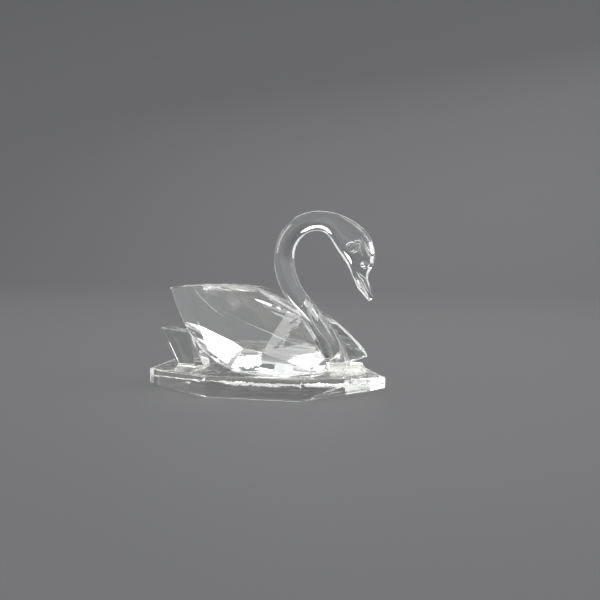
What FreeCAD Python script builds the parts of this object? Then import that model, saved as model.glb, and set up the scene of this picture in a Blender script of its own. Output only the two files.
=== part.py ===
import FreeCAD, Part
import math
import os

# Swan figurine: five pieces of clear crystal, and the clear adhesive that joins them.
# Millimetres. +X is the way the swan faces, +Y is its left, +Z is up.
# The origin is under the middle of the base plate, on the surface that it stands on.

Vec = FreeCAD.Vector

# How far a cut reaches from its middle, more than any stone here needs.
GRINDING_SIZE = 200.0

# Base plate: a long plate with straight walls. Its front right end is cut off at a slant on the
# far side, and the underside is ground up towards both ends, so it stands on the middle.
BASE_HALF_LENGTH = 29.7
BASE_HALF_WIDTH = 17.6
BASE_TOP = 5.2
BASE_OUTLINE = (
    (BASE_HALF_LENGTH, -7.6),
    (22.6, 5.6),
    (20.4, 13.5),
    (11.7, BASE_HALF_WIDTH),
    (-11.7, BASE_HALF_WIDTH),
    (-26.7, 11.6),
    (-BASE_HALF_LENGTH, 9.2),
    (-BASE_HALF_LENGTH, -8.2),
    (-26.7, -10.6),
    (-11.7, -BASE_HALF_WIDTH),
    (11.7, -BASE_HALF_WIDTH),
    (26.7, -10.6),
)
WALL_BOTTOM = 0.5
WALL_TOP = 4.9
FOOT_SCALE = 0.975
TABLE_SCALE = 0.985
# The ground slopes under the ends: where each starts, and its angle.
TAIL_SLOPE = (-11.0, 4.4)
FRONT_SLOPE = (11.0, 7.6)

# Clear adhesive: a film under each stone, and the gap between the wings in the middle.
FILM = 0.15
MID_GAP = 0.15

# Wings: two almond-cut stones, pointed at the tail end, ground flat where they are glued.
# They are cut out of a blank. Fullness moves the widest place along, bluntness fills the tips.
WING_LENGTH = 49.0
WING_HALF_WIDTH = 11.6
WING_FULLNESS = 1.08
WING_BLUNTNESS = 0.9
WING_SIDES = 12
WING_BLANK = 14.0
GIRDLE = 0.4
WING_YAW = 15.5
WING_PITCH = 21.5
WING_ROLL = 45.0
WING_TIP_X = -26.6
WING_TIP_Y = 1.6
WING_TIP_Z = 24.7
LEFT_WING_FORWARD = 4.0
NECK_FLAT_X = 4.3
NECK_FLAT_Y = 2.65
NECK_FLAT_ANGLE = 18.0
# Each cut is a direction in the plane of the stone and a slope, both in degrees. The outer
# side also has a table, this high over the middle plane of the stone.
TABLE_HEIGHT = 0.8
OUTER_CUTS = ((97, 30), (140, 26), (-140, 26), (-97, 34), (-60, 34), (-22, 34), (22, 34), (60, 32))
INNER_CUTS = ((97, 13), (-101, 26), (150, 9), (-146, 15), (64, 15), (30, 20), (-5, 21), (-67, 24))

# Neck and head: one rod, hot-worked. Stations from the foot to the tip of the bill:
# x, z, half height, half depth.
NECK_STATIONS = (
    (16.9, BASE_TOP + FILM, 2.9, 3.0),
    (16.8, 8.0, 2.3, 2.4),
    (15.9, 11.0, 2.0, 2.1),
    (14.1, 14.2, 1.9, 2.0),
    (11.3, 17.5, 2.0, 2.0),
    (8.1, 20.9, 2.2, 2.2),
    (5.2, 24.5, 2.4, 2.4),
    (3.5, 28.3, 2.5, 2.5),
    (2.9, 32.2, 2.5, 2.5),
    (3.6, 36.3, 2.5, 2.5),
    (5.9, 39.6, 2.45, 2.5),
    (9.1, 41.4, 2.4, 2.5),
    (12.3, 41.7, 2.45, 2.5),
    (15.2, 40.9, 2.85, 2.6),
    (18.1, 38.7, 3.75, 2.9),
    (20.3, 36.4, 4.25, 3.1),
    (21.6, 34.1, 4.1, 2.9),
    (22.1, 31.9, 3.5, 2.5),
    (22.1, 30.0, 2.65, 2.1),
    (22.2, 28.4, 1.95, 1.75),
    (22.9, 26.2, 1.65, 1.45),
    (23.9, 24.2, 1.15, 1.15),
    (24.4, 23.1, 0.8, 0.85),
    (24.6, 22.4, 0.35, 0.4),
)
# A round knob goes through the head above the root of the bill.
KNOB = (23.4, 31.3)
KNOB_RADIUS = 1.35
KNOB_HALF_DEPTH = 3.0
# Each eye is a ring-shaped groove.
EYE = (20.4, 35.3)
EYE_RING_RADIUS = 1.1
EYE_DEPTH = 3.12
EYE_GROOVE_RADIUS = 0.3
# Straight grooves on both sides of the head, as two end points: two brows, and the mouth.
HEAD_GROOVES = (
    ((20.9, 3.08, 37.2), (23.3, 2.62, 33.3)),
    ((22.2, 2.68, 38.0), (24.5, 2.12, 33.4)),
    ((21.5, 1.95, 29.3), (24.3, 0.9, 23.4)),
)
HEAD_GROOVE_RADIUS = 0.2
# The underside of the bill is ground flat on both sides, up to the mouth.
BILL_FLAT_POINT = (22.9, 1.42, 26.2)
BILL_FLAT_NORMAL = (-0.49, 0.75, -0.44)
BILL_FLAT_SIZE = 12.0

# Tail: a small cut block that leans back over the end of the base. Faces are cut on its right
# side, and mirrored to the left: each has a point on it and a direction that it faces.
TAIL_PROFILE = (
    (-24.6, BASE_TOP + FILM),
    (-17.6, BASE_TOP + FILM),
    (-20.6, 13.9),
    (-29.0, 14.6),
)
TAIL_HALF_WIDTH = 4.6
TAIL_FACES = (
    ((-24.6, -2.8, BASE_TOP + FILM), (-0.30, -1.0, -0.12)),
    ((-17.6, -2.3, BASE_TOP + FILM), (0.82, -0.57, 0.10)),
)

# The bead of adhesive round the foot of the neck: an ellipse that gets smaller towards its top.
BEAD_X = 18.4
BEAD_FOOT = (5.4, 4.4)
BEAD_CROWN = (4.0, 3.6)
BEAD_HEIGHT = 0.9


def keep_below(shape, point, normal, size=GRINDING_SIZE):
    """Grind the shape flat: keep only what lies behind the plane, as far as the size reaches."""
    block = Part.makeBox(size, size, size, Vec(-size / 2, -size / 2, 0))
    turn = FreeCAD.Rotation(Vec(0, 0, 1), normal)
    block.Placement = FreeCAD.Placement(point, turn)
    return shape.cut(block)


def base_outline(scale, z):
    corners = [Vec(x * scale, y * scale, z) for x, y in BASE_OUTLINE]
    return Part.makePolygon(corners + corners[:1])


def base_plate():
    levels = ((FOOT_SCALE, 0), (1, WALL_BOTTOM), (1, WALL_TOP), (TABLE_SCALE, BASE_TOP))
    outlines = [base_outline(scale, z) for scale, z in levels]
    plate = Part.makeLoft(outlines, True, True).removeSplitter()
    for start, angle in (TAIL_SLOPE, FRONT_SLOPE):
        a = math.radians(angle)
        outwards = math.copysign(1, start)
        plate = keep_below(plate, Vec(start, 0, 0), Vec(outwards * math.sin(a), 0, -math.cos(a)))
    return plate


def almond_outline():
    """Girdle corners: along u from the point, and the half width there, on both sides."""
    upper = []
    for i in range(1, WING_SIDES):
        t = 0.5 - 0.5 * math.cos(math.pi * i / WING_SIDES)
        half = WING_HALF_WIDTH * math.sin(math.pi * t ** WING_FULLNESS) ** WING_BLUNTNESS
        upper.append((t * WING_LENGTH, half))
    lower = [(u, -half) for u, half in reversed(upper)]
    return [(0.0, 0.0)] + upper + [(WING_LENGTH, 0.0)] + lower


def cut_side(stone, outline, cuts, side):
    """Facets on one face: each plane touches the girdle edge and slopes up to the middle."""
    for direction, slope in cuts:
        a = math.radians(direction)
        s = math.radians(slope)
        u, v = max(outline, key=lambda p: p[0] * math.cos(a) + p[1] * math.sin(a))
        normal = Vec(math.cos(a) * math.sin(s), math.sin(a) * math.sin(s), side * math.cos(s))
        stone = keep_below(stone, Vec(u, v, side * GIRDLE / 2), normal)
    return stone


def almond_stone():
    outline = almond_outline()
    corners = [Vec(u, v, -WING_BLANK / 2) for u, v in outline]
    face = Part.Face(Part.makePolygon(corners + corners[:1]))
    stone = face.extrude(Vec(0, 0, WING_BLANK))
    stone = cut_side(stone, outline, OUTER_CUTS, -1)
    stone = keep_below(stone, Vec(0, 0, -TABLE_HEIGHT), Vec(0, 0, -1))
    return cut_side(stone, outline, INNER_CUTS, 1)


def wing_axes():
    """Unit vectors of the left wing: along the stone, up across it, and in to the middle."""
    yaw = math.radians(WING_YAW)
    pitch = math.radians(WING_PITCH)
    roll = math.radians(WING_ROLL)
    along = Vec(math.cos(pitch) * math.cos(yaw), math.cos(pitch) * math.sin(yaw), -math.sin(pitch))
    steep = Vec(0, 0, 1) - along * along.z
    steep.normalize()
    sideways = along.cross(steep)
    across = steep * math.cos(roll) + sideways * math.sin(roll)
    return along, across, along.cross(across)


def wing(side):
    """side 1 is the swan's left wing, -1 its right."""
    along, across, inward = wing_axes()
    forward = LEFT_WING_FORWARD if side > 0 else 0
    matrix = FreeCAD.Matrix(along.x, across.x, inward.x, WING_TIP_X + forward,
                            along.y, across.y, inward.y, WING_TIP_Y,
                            along.z, across.z, inward.z, WING_TIP_Z,
                            0, 0, 0, 1)
    stone = almond_stone()
    stone.Placement = FreeCAD.Placement(matrix)
    stone = keep_below(stone, Vec(0, 0, BASE_TOP + FILM), Vec(0, 0, -1))
    stone = keep_below(stone, Vec(0, MID_GAP / 2, 0), Vec(0, -1, 0))
    a = math.radians(NECK_FLAT_ANGLE)
    stone = keep_below(stone, Vec(NECK_FLAT_X, NECK_FLAT_Y, 0), Vec(math.sin(a), -math.cos(a), 0))
    return stone if side > 0 else stone.mirror(Vec(0, 0, 0), Vec(0, 1, 0))


def neck_section(i):
    """An ellipse square to the neck's path at station i."""
    x, z, height, depth = NECK_STATIONS[i]
    before = NECK_STATIONS[max(i - 1, 0)]
    after = NECK_STATIONS[min(i + 1, len(NECK_STATIONS) - 1)]
    along = Vec(after[0] - before[0], 0, after[1] - before[1])
    if i == 0:
        along = Vec(0, 0, 1)
    along.normalize()
    upright = Vec(-along.z, 0, along.x)
    return ellipse_wire(Vec(x, 0, z), upright, Vec(0, 1, 0), height, depth)


def ellipse_wire(middle, u, v, u_half, v_half):
    count = 16
    points = []
    for k in range(count):
        a = 2 * math.pi * k / count
        points.append(middle + u * (u_half * math.cos(a)) + v * (v_half * math.sin(a)))
    curve = Part.BSplineCurve()
    curve.interpolate(Points=points, PeriodicFlag=True)
    return Part.Wire(curve.toShape())


def knob():
    """An ellipsoid with its long axis across the head."""
    middle = Vec(KNOB[0], 0, KNOB[1])
    poles = Part.Ellipse(middle + Vec(0, KNOB_HALF_DEPTH, 0), middle + Vec(KNOB_RADIUS, 0, 0), middle)
    half = Part.ArcOfEllipse(poles, 0, math.pi).toShape()
    axis = Part.makeLine(half.Vertexes[-1].Point, half.Vertexes[0].Point)
    return Part.Face(Part.Wire([half, axis])).revolve(middle, Vec(0, 1, 0), 360)


def groove_tools(side):
    """What is cut out of one side of the head: the eye's ring and the straight grooves."""
    eye = Vec(EYE[0], side * EYE_DEPTH, EYE[1])
    tools = [Part.makeTorus(EYE_RING_RADIUS, EYE_GROOVE_RADIUS, eye, Vec(0, 1, 0))]
    for start, end in HEAD_GROOVES:
        first = Vec(start[0], side * start[1], start[2])
        run = Vec(end[0], side * end[1], end[2]) - first
        tools.append(Part.makeCylinder(HEAD_GROOVE_RADIUS, run.Length, first, run))
    return tools


def neck_and_head():
    sections = [neck_section(i) for i in range(len(NECK_STATIONS))]
    body = Part.makeLoft(sections, True, False).fuse(knob())
    for side in (-1, 1):
        x, y, z = BILL_FLAT_POINT
        nx, ny, nz = BILL_FLAT_NORMAL
        body = keep_below(body, Vec(x, side * y, z), Vec(nx, side * ny, nz), BILL_FLAT_SIZE)
        body = body.cut(groove_tools(side))
    return body


def tail():
    corners = [Vec(x, -TAIL_HALF_WIDTH, z) for x, z in TAIL_PROFILE]
    face = Part.Face(Part.makePolygon(corners + corners[:1]))
    block = face.extrude(Vec(0, 2 * TAIL_HALF_WIDTH, 0))
    for (x, y, z), (nx, ny, nz) in TAIL_FACES:
        block = keep_below(block, Vec(x, y, z), Vec(nx, ny, nz))
        block = keep_below(block, Vec(x, -y, z), Vec(nx, -ny, nz))
    return block


def ground_flat(stone, normal, offset):
    """The flat face of a stone that lies on the plane with this normal and offset."""
    parallel = 0.999
    tolerance = 0.001
    for face in stone.Faces:
        facing = abs(face.normalAt(0, 0).dot(normal))
        distance = abs(face.CenterOfMass.dot(normal) - offset)
        if facing > parallel and distance < tolerance:
            return face
    raise ValueError("the stone has no flat there")


def film_under(stone):
    """Adhesive between the base and the flat that is ground on the stone."""
    flat = ground_flat(stone, Vec(0, 0, -1), -BASE_TOP - FILM)
    return flat.extrude(Vec(0, 0, -FILM))


def film_between_wings(right, left):
    """Adhesive where the two middle flats face each other."""
    right_flat = ground_flat(right, Vec(0, 1, 0), -MID_GAP / 2)
    left_flat = ground_flat(left, Vec(0, -1, 0), -MID_GAP / 2)
    right_reach = right_flat.extrude(Vec(0, MID_GAP, 0))
    left_reach = left_flat.extrude(Vec(0, -MID_GAP, 0))
    return right_reach.common(left_reach)


def neck_bead(neck):
    levels = ((BEAD_FOOT, BASE_TOP), (BEAD_CROWN, BASE_TOP + BEAD_HEIGHT))
    outlines = []
    for (length, width), z in levels:
        outlines.append(Part.Wire(Part.Ellipse(Vec(BEAD_X, 0, z), length, width).toShape()))
    return Part.makeLoft(outlines, True, True).cut(neck)


def main():
    os.makedirs("parts", exist_ok=True)
    right = wing(-1)
    left = wing(1)
    tail_stone = tail()
    neck = neck_and_head()
    nodes = {
        "base_plate": base_plate(),
        "wing_right": right,
        "wing_left": left,
        "tail": tail_stone,
        "neck_and_head": neck,
        "bond_wing_right": film_under(right),
        "bond_wing_left": film_under(left),
        "bond_wings": film_between_wings(right, left),
        "bond_tail": film_under(tail_stone),
        "bond_neck": neck_bead(neck),
    }
    for name, shape in nodes.items():
        shape.exportStep(f"parts/{name}.step")


main()
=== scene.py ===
import math

import bpy
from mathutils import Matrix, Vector

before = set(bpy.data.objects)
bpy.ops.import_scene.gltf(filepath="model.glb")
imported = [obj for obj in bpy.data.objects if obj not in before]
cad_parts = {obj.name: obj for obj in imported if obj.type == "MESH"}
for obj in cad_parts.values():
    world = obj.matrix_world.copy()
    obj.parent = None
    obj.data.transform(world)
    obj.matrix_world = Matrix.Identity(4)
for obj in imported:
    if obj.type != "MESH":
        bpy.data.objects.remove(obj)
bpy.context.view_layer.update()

# Lengths are in metres. Azimuth is measured from -Y towards +X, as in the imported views.

# The camera is DISTANCE from LOOK_AT, and aims a little right of it and above it.
AZIMUTH = math.radians(16)
ELEVATION = math.radians(6.5)
DISTANCE = 0.25
LOOK_AT = Vector((0, 0, 0.015))
AIM_RIGHT = 0.00675
AIM_UP = 0.007
LENS = 60
SENSOR_WIDTH = 36
CLIP_START = 0.005
CLIP_END = 20

# Lamp panels: place, point aimed at, width and height, and how bright they look, where
# 1 is white paper in full light.
LAMPS = {
    "soft_back": ((-0.05, 0.46, 0.275), (0, 0, 0.02), (0.45, 0.14), 2.6),
    "soft_top": ((0.3, 0.2, 0.6), (0, 0, 0), (0.35, 0.3), 2.5),
    "soft_left": ((-0.5, -0.15, 0.22), (0, 0, 0.02), (0.25, 0.35), 5.0),
    "soft_right": ((0.5, 0.05, 0.2), (0, 0, 0.02), (0.12, 0.35), 5.0),
}
PALE_ROOM = (0.97, 0.98, 1, 1)
GREY_BEYOND = (0.2, 0.2, 0.203, 1)
BOUNCES = 32
TRANSPARENT_BOUNCES = 48

# The paper under the swan: flat from front to back, then a quarter circle up to a wall.
# It lies a hair below the foot, because glass right on paper shows a dark patch.
PAPER_GREY = (0.108, 0.108, 0.11, 1)
PAPER_ROUGHNESS = 0.7
PAPER_HALF_WIDTH = 0.7
PAPER_FRONT = -0.5
PAPER_BACK = 0.3
PAPER_RADIUS = 0.25
PAPER_STEPS = 12
PAPER_TOP = 0.9
PAPER_DROP = 0.00003

# Glass and adhesive. Most of the noise lies in its middle range, which is spread out.
# A clearness of 1 is clear, and 0 is white.
CRYSTAL_IOR = 1.54
ADHESIVE_IOR = 1.49
NOISE_MIDDLE = (0.3, 0.7)
ROUGHNESS_SCALE = 900
ROUGHNESS_DETAIL = 2
CLOUD_SCALE = 500
CLOUD_DETAIL = 4
CLOUD_CLEARNESS = (0.35, 0.95)

# Where the left wing would lie if it weren't glued further forward: its yaw, pitch and
# roll, and its rear point. The right wing mirrors that. The girdle is the narrow band
# round a wing, up to GIRDLE_REACH on both sides of its middle plane.
WING_TURN = (math.radians(15.5), math.radians(21.5), math.radians(45))
WING_TIP = Vector((-0.0266, 0.0016, 0.0247))
LEFT_WING_FORWARD = 0.004
GIRDLE_REACH = 0.00026
# The ground girdles are frosted white. The right wing's girdle, on the near side, is made
# far whiter than the left's, as a painted highlight of its bright rim.
LEFT_GIRDLE_CLEARNESS = 0.7
RIGHT_GIRDLE_FROST_AND_PAINTED_RIM = 0.1
GROUND_ROUGHNESS = 0.35
POLISHED_ROUGHNESS = 0.005

# What the modifiers change on the meshes.
SEAM_GAP = 0.000002
EDGE_ROUND = 0.00015
EDGE_SEGMENTS = 2
EDGE_LEAST_ANGLE = math.radians(8)
CUT_PIECES = ("wing_right", "wing_left", "tail", "base_plate")
JOINT_OVERLAP = 0.00002


def view_axes():
    sa, ca = math.sin(AZIMUTH), math.cos(AZIMUTH)
    se, ce = math.sin(ELEVATION), math.cos(ELEVATION)
    back = Vector((sa * ce, -ca * ce, se))
    right = Vector((ca, sa, 0))
    up = Vector((-sa * se, ca * se, ce))
    return back, right, up


def add_camera():
    back, right, up = view_axes()
    data = bpy.data.cameras.new("camera")
    data.lens = LENS
    data.sensor_width = SENSOR_WIDTH
    data.clip_start = CLIP_START
    data.clip_end = CLIP_END
    camera = bpy.data.objects.new("camera", data)
    bpy.context.scene.collection.objects.link(camera)
    camera.location = LOOK_AT + back * DISTANCE
    target = LOOK_AT + right * AIM_RIGHT + up * AIM_UP
    direction = target - camera.location
    camera.rotation_euler = direction.to_track_quat("-Z", "Y").to_euler()
    bpy.context.scene.camera = camera


def add_lamps():
    for name, (place, aim, size, brightness) in LAMPS.items():
        data = bpy.data.lights.new(name, "AREA")
        data.shape = "RECTANGLE"
        data.size, data.size_y = size
        data.energy = brightness * math.pi * size[0] * size[1]
        lamp = bpy.data.objects.new(name, data)
        bpy.context.scene.collection.objects.link(lamp)
        lamp.location = place
        direction = Vector(aim) - Vector(place)
        lamp.rotation_euler = direction.to_track_quat("-Z", "Y").to_euler()


def add_surround():
    """Beyond the paper the camera sees more grey, while the glass sees a pale room."""
    world = bpy.data.worlds.new("world")
    bpy.context.scene.world = world
    world.use_nodes = True
    nodes, links = world.node_tree.nodes, world.node_tree.links
    room = nodes["Background"]
    room.inputs["Color"].default_value = PALE_ROOM
    grey = nodes.new("ShaderNodeBackground")
    grey.inputs["Color"].default_value = GREY_BEYOND
    path = nodes.new("ShaderNodeLightPath")
    choose = nodes.new("ShaderNodeMixShader")
    links.new(path.outputs["Is Camera Ray"], choose.inputs[0])
    links.new(room.outputs[0], choose.inputs[1])
    links.new(grey.outputs[0], choose.inputs[2])
    links.new(choose.outputs[0], nodes["World Output"].inputs["Surface"])
    bpy.context.scene.view_settings.view_transform = "Standard"


def let_light_bounce():
    """Light reflects many times inside crystal, and a path cut short turns black."""
    cycles = bpy.context.scene.cycles
    cycles.max_bounces = BOUNCES
    cycles.glossy_bounces = BOUNCES
    cycles.transmission_bounces = BOUNCES
    cycles.transparent_max_bounces = TRANSPARENT_BOUNCES


def paper_material():
    mat = bpy.data.materials.new("studio_grey")
    mat.use_nodes = True
    shader = mat.node_tree.nodes["Principled BSDF"]
    shader.inputs["Base Color"].default_value = PAPER_GREY
    shader.inputs["Roughness"].default_value = PAPER_ROUGHNESS
    return mat


def add_floor():
    profile = [(PAPER_FRONT, 0), (PAPER_BACK, 0)]
    for step in range(1, PAPER_STEPS + 1):
        a = math.radians(90 * step / PAPER_STEPS)
        profile.append((
            PAPER_BACK + PAPER_RADIUS * math.sin(a),
            PAPER_RADIUS - PAPER_RADIUS * math.cos(a),
        ))
    profile.append((PAPER_BACK + PAPER_RADIUS, PAPER_TOP))
    verts = [
        (x, y, z - PAPER_DROP)
        for y, z in profile
        for x in (-PAPER_HALF_WIDTH, PAPER_HALF_WIDTH)
    ]
    faces = [
        (left, left + 1, left + 3, left + 2)
        for left in range(0, len(verts) - 2, 2)
    ]
    mesh = bpy.data.meshes.new("floor")
    mesh.from_pydata(verts, [], faces)
    mesh.shade_smooth()
    floor = bpy.data.objects.new("floor", mesh)
    bpy.context.scene.collection.objects.link(floor)
    mesh.materials.append(paper_material())


def fine_noise(mat, scale, detail, low, high):
    """A noise in the object's own space, spread between two values."""
    nodes, links = mat.node_tree.nodes, mat.node_tree.links
    place = nodes.new("ShaderNodeTexCoord")
    noise = nodes.new("ShaderNodeTexNoise")
    noise.inputs["Scale"].default_value = scale
    noise.inputs["Detail"].default_value = detail
    links.new(place.outputs["Object"], noise.inputs["Vector"])
    spread = nodes.new("ShaderNodeMapRange")
    spread.inputs["From Min"].default_value = NOISE_MIDDLE[0]
    spread.inputs["From Max"].default_value = NOISE_MIDDLE[1]
    spread.inputs["To Min"].default_value = low
    spread.inputs["To Max"].default_value = high
    links.new(noise.outputs["Fac"], spread.inputs["Value"])
    return spread.outputs["Result"]


def make_uneven(mat, scale, detail, strength, depth):
    """Bend the reflections a little, as a surface does that isn't quite flat."""
    nodes, links = mat.node_tree.nodes, mat.node_tree.links
    bump = nodes.new("ShaderNodeBump")
    bump.inputs["Strength"].default_value = strength
    bump.inputs["Distance"].default_value = depth
    links.new(fine_noise(mat, scale, detail, 0.0, 1.0), bump.inputs["Height"])
    links.new(bump.outputs["Normal"], nodes["Principled BSDF"].inputs["Normal"])


def vary_roughness(mat, low, high):
    roughness = fine_noise(mat, ROUGHNESS_SCALE, ROUGHNESS_DETAIL, low, high)
    shader = mat.node_tree.nodes["Principled BSDF"]
    mat.node_tree.links.new(roughness, shader.inputs["Roughness"])


def clear_glass(name, colour, ior, lamp_tint):
    """Glass that lets lamp light through, so that it throws only a faint shadow."""
    mat = bpy.data.materials.new(name)
    mat.use_nodes = True
    nodes, links = mat.node_tree.nodes, mat.node_tree.links
    shader = nodes["Principled BSDF"]
    shader.inputs["Base Color"].default_value = colour
    shader.inputs["Transmission Weight"].default_value = 1.0
    shader.inputs["IOR"].default_value = ior
    path = nodes.new("ShaderNodeLightPath")
    clear = nodes.new("ShaderNodeBsdfTransparent")
    clear.inputs["Color"].default_value = (lamp_tint, lamp_tint, lamp_tint, 1)
    choose = nodes.new("ShaderNodeMixShader")
    links.new(path.outputs["Is Shadow Ray"], choose.inputs[0])
    links.new(shader.outputs[0], choose.inputs[1])
    links.new(clear.outputs[0], choose.inputs[2])
    links.new(choose.outputs[0], nodes["Material Output"].inputs["Surface"])
    return mat


def cut_crystal(name):
    """Machine-cut stones: flat, with the faintest unevenness from polishing."""
    mat = clear_glass(name, (0.988, 0.992, 0.98, 1), CRYSTAL_IOR, lamp_tint=0.95)
    make_uneven(mat, scale=350, detail=2, strength=0.25, depth=0.00002)
    return mat


def tail_crystal():
    mat = cut_crystal("cut_crystal")
    vary_roughness(mat, low=0.0, high=0.012)
    return mat


def wing_plane(side):
    """A wing's middle plane, as a unit normal and its distance from the origin."""
    yaw, pitch, roll = WING_TURN
    flat = math.cos(pitch)
    along = Vector((flat * math.cos(yaw), flat * math.sin(yaw), -math.sin(pitch)))
    steep = (Vector((0, 0, 1)) - along * along.z).normalized()
    across = steep * math.cos(roll) + along.cross(steep) * math.sin(roll)
    normal = along.cross(across)
    tip = WING_TIP.copy()
    if side > 0:
        tip.x += LEFT_WING_FORWARD
    distance = normal.dot(tip)
    normal.y *= side
    return normal, distance


def wing_crystal(name, side, girdle_frost_and_painted_rim):
    """Cut crystal with a ground girdle, made whiter by its last argument; on the right
    wing that white is partly a painted highlight of the bright rim. Side is 1 for the
    left wing, -1 the right.
    """
    mat = cut_crystal(name)
    nodes, links = mat.node_tree.nodes, mat.node_tree.links
    normal, distance = wing_plane(side)
    place = nodes.new("ShaderNodeTexCoord")
    height = nodes.new("ShaderNodeVectorMath")
    height.operation = "DOT_PRODUCT"
    height.inputs[1].default_value = normal
    links.new(place.outputs["Object"], height.inputs[0])
    on_girdle = nodes.new("ShaderNodeMath")
    on_girdle.operation = "COMPARE"
    on_girdle.inputs[1].default_value = distance
    on_girdle.inputs[2].default_value = GIRDLE_REACH
    links.new(height.outputs["Value"], on_girdle.inputs[0])
    # Less transmission paints the girdle white: partly ground frost, and on the right
    # wing partly a painted highlight.
    finishes = {
        "Transmission Weight": (1.0, girdle_frost_and_painted_rim),
        "Roughness": (POLISHED_ROUGHNESS, GROUND_ROUGHNESS),
    }
    for socket, (polished, ground) in finishes.items():
        spread = nodes.new("ShaderNodeMapRange")
        spread.inputs["To Min"].default_value = polished
        spread.inputs["To Max"].default_value = ground
        links.new(on_girdle.outputs["Value"], spread.inputs["Value"])
        links.new(spread.outputs["Result"], nodes["Principled BSDF"].inputs[socket])
    return mat


def drawn_crystal():
    """The neck and head: drawn and pinched from a hot rod, so never quite even."""
    mat = clear_glass(
        "drawn_crystal", (0.985, 0.99, 0.98, 1), CRYSTAL_IOR, lamp_tint=0.95)
    vary_roughness(mat, low=0.0, high=0.02)
    make_uneven(mat, scale=220, detail=3, strength=0.35, depth=0.00006)
    return mat


def base_crystal():
    """The base: thicker, so its warm green tint shows, and less flat than the rest."""
    mat = clear_glass(
        "base_crystal", (0.965, 0.972, 0.935, 1), CRYSTAL_IOR, lamp_tint=0.95)
    vary_roughness(mat, low=0.0, high=0.05)
    make_uneven(mat, scale=160, detail=4, strength=0.6, depth=0.00012)
    return mat


def thin_adhesive():
    """The films squeezed between two stones: so thin that they look almost clear."""
    mat = clear_glass(
        "thin_adhesive", (0.98, 0.98, 0.95, 1), ADHESIVE_IOR, lamp_tint=0.96)
    vary_roughness(mat, low=0.0, high=0.04)
    make_uneven(mat, scale=500, detail=2, strength=0.3, depth=0.00003)
    return mat


def cloudy_adhesive():
    """The bead round the neck: dull and lumpy, with pale drifts in it."""
    mat = clear_glass(
        "cloudy_adhesive", (0.97, 0.97, 0.93, 1), ADHESIVE_IOR, lamp_tint=0.93)
    vary_roughness(mat, low=0.12, high=0.45)
    make_uneven(mat, scale=700, detail=4, strength=0.8, depth=0.0002)
    cloud = fine_noise(mat, CLOUD_SCALE, CLOUD_DETAIL, *CLOUD_CLEARNESS)
    shader = mat.node_tree.nodes["Principled BSDF"]
    mat.node_tree.links.new(cloud, shader.inputs["Transmission Weight"])
    return mat


def soften_edges(node):
    """A polished edge is never quite sharp, and the small round on it catches light."""
    weld = node.modifiers.new("close_seams", "WELD")
    weld.merge_threshold = SEAM_GAP
    bevel = node.modifiers.new("polished_edge", "BEVEL")
    bevel.width = EDGE_ROUND
    bevel.segments = EDGE_SEGMENTS
    bevel.limit_method = "ANGLE"
    bevel.angle_limit = EDGE_LEAST_ANGLE
    bevel.harden_normals = True


def wet_the_joint(film):
    """Let adhesive reach a hair into the stones, so that no air gap shows between."""
    grow = film.modifiers.new("wet_joint", "DISPLACE")
    grow.strength = JOINT_OVERLAP
    grow.mid_level = 0.0


def dress_nodes():
    film = thin_adhesive()
    finishes = {
        "base_plate": base_crystal(),
        # The right wing's whiter girdle is partly a painted highlight of its bright rim.
        "wing_right": wing_crystal("wing_crystal_right_painted_rim", -1, RIGHT_GIRDLE_FROST_AND_PAINTED_RIM),
        "wing_left": wing_crystal("wing_crystal_left", 1, LEFT_GIRDLE_CLEARNESS),
        "tail": tail_crystal(),
        "neck_and_head": drawn_crystal(),
        "bond_neck": cloudy_adhesive(),
    }
    for name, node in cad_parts.items():
        node.data.materials.clear()
        node.data.materials.append(finishes.get(name, film))
        if name.startswith("bond"):
            wet_the_joint(node)
        if name in CUT_PIECES:
            soften_edges(node)


add_camera()
add_lamps()
add_surround()
let_light_bounce()
add_floor()
dress_nodes()
